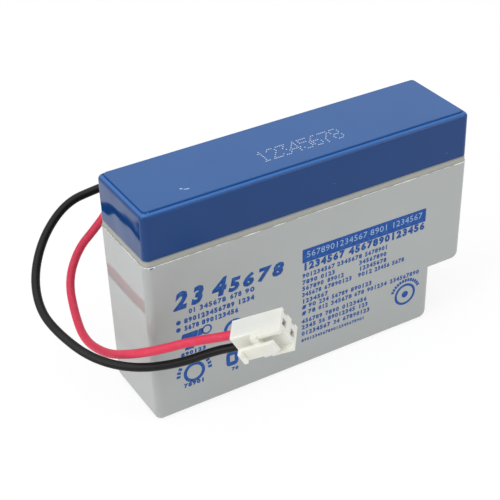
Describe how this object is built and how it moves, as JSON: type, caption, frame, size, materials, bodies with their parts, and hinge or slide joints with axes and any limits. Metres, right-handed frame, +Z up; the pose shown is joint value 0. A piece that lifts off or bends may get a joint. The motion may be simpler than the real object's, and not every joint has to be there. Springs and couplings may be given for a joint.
{
  "type": "sealed lead acid battery",
  "caption": "Flat sealed lead acid battery in a stepped grey jar with a blue lid and two short leads ending in a white plug.",
  "frame": {"origin": "centre of the flat underside, on the surface it stands on", "axes": "+X along the length towards the stepped end, +Y to the back face where the leads come out, +Z up"},
  "size_m": [0.1151, 0.0726, 0.0622],
  "materials": {
    "jar_abs": "grey ABS, fine satin mould finish, gloss at the ends",
    "lid_abs": "blue ABS, satin top and glossy rim",
    "red_pvc": "red PVC wire insulation",
    "black_pvc": "black PVC wire insulation",
    "nylon": "natural white nylon",
    "tinned_bronze": "tin plated phosphor bronze",
    "positive_paste": "lead dioxide paste on a lead grid",
    "negative_paste": "sponge lead paste on a lead grid",
    "glass_mat": "absorbent glass mat",
    "lead_metal": "cast lead alloy",
    "cap_rubber": "soft black rubber",
    "red_resin": "red potting resin",
    "black_resin": "black potting resin",
    "tinned_brass": "tinned brass strip"
  },
  "bodies": {
    "root": {"connector_housing": "nylon", "contact_black": "tinned_bronze", "contact_red": "tinned_bronze", "container": "jar_abs", "intercell_link_1": "lead_metal", "intercell_link_2": "lead_metal", "intercell_link_3": "lead_metal", "intercell_link_4": "lead_metal", "intercell_link_5": "lead_metal", "lead_black": "black_pvc", "lead_black_inner": "black_pvc", "lead_red": "red_pvc", "lead_red_inner": "red_pvc", "lid": "lid_abs", "negative_group_1": "negative_paste", "negative_group_2": "negative_paste", "negative_group_3": "negative_paste", "negative_group_4": "negative_paste", "negative_group_5": "negative_paste", "negative_group_6": "negative_paste", "positive_group_1": "positive_paste", "positive_group_2": "positive_paste", "positive_group_3": "positive_paste", "positive_group_4": "positive_paste", "positive_group_5": "positive_paste", "positive_group_6": "positive_paste", "post_oring_negative": "cap_rubber", "post_oring_positive": "cap_rubber", "post_seal_negative": "black_resin", "post_seal_positive": "red_resin", "separator_1_left": "glass_mat", "separator_1_right": "glass_mat", "separator_2_left": "glass_mat", "separator_2_right": "glass_mat", "separator_3_left": "glass_mat", "separator_3_right": "glass_mat", "separator_4_left": "glass_mat", "separator_4_right": "glass_mat", "separator_5_left": "glass_mat", "separator_5_right": "glass_mat", "separator_6_left": "glass_mat", "separator_6_right": "glass_mat", "solder_tab_negative": "tinned_brass", "solder_tab_positive": "tinned_brass", "terminal_post_negative": "lead_metal", "terminal_post_positive": "lead_metal", "top_plate": "lid_abs", "valve_cap_1": "cap_rubber", "valve_cap_2": "cap_rubber", "valve_cap_3": "cap_rubber", "valve_cap_4": "cap_rubber", "valve_cap_5": "cap_rubber", "valve_cap_6": "cap_rubber"}
  },
  "joints": []
}
